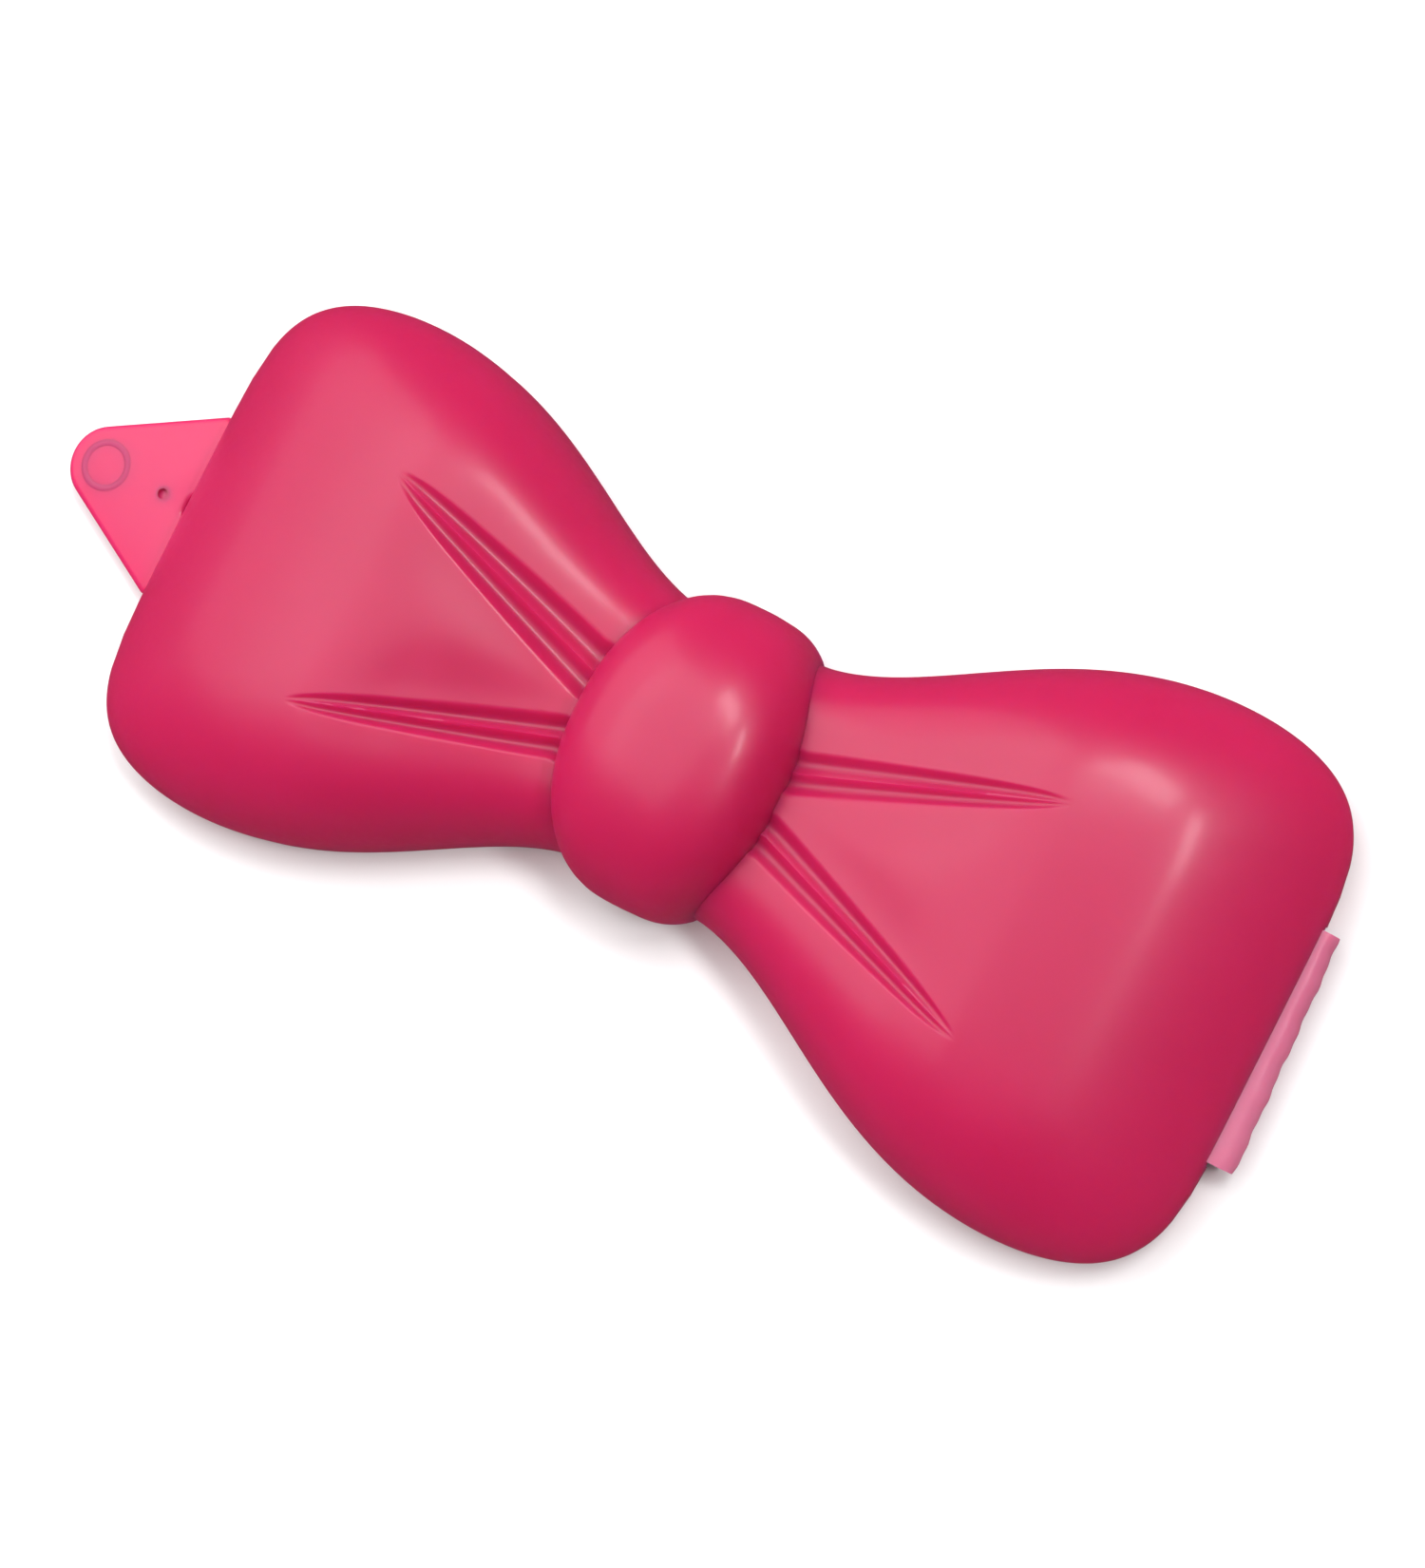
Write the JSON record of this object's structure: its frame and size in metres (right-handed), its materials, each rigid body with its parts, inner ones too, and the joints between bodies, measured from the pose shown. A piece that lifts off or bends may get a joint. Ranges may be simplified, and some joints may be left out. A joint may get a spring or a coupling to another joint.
{
  "type": "hair barrette",
  "caption": "Self-hinge hair barrette in the shape of a ribbon bow: hollow moulded bow front, flat clasp with a thumb tab, and a living hinge at one end.",
  "frame": {"origin": "under the middle of the knot, on the back face of the clasp, which is the plane the closed barrette rests on", "axes": "+X along the bow towards the living hinge, -X towards the thumb tab, +Y across the bow, +Z out of the bow's face"},
  "size_m": [0.0733, 0.029, 0.0104],
  "materials": {
    "bow_plastic": "satin, slightly translucent hot pink",
    "clasp_plastic": "satin, slightly translucent hot pink",
    "hinge_web": "thin, pale and translucent where it is folded"
  },
  "bodies": {
    "bow": {"left_loop": "bow_plastic", "right_loop": "bow_plastic", "knot": "bow_plastic", "near_rail": "bow_plastic", "far_rail": "bow_plastic", "catch_hook": "bow_plastic", "hinge_anchor": "bow_plastic", "living_hinge": "hinge_web"},
    "clasp": {"clasp_arm": "clasp_plastic", "near_flange": "clasp_plastic", "far_flange": "clasp_plastic", "arm_comb": "clasp_plastic", "hinge_foot": "clasp_plastic", "release_tab": "clasp_plastic", "tab_ring": "clasp_plastic"}
  },
  "joints": [
    {"name": "clasp_hinge", "type": "hinge", "parent": "bow", "child": "clasp", "pos_m": [0.03318, 0, 0.00145], "axis": [0, -1, 0], "range_deg": [0, 180], "deforming": ["living_hinge"]}
  ]
}
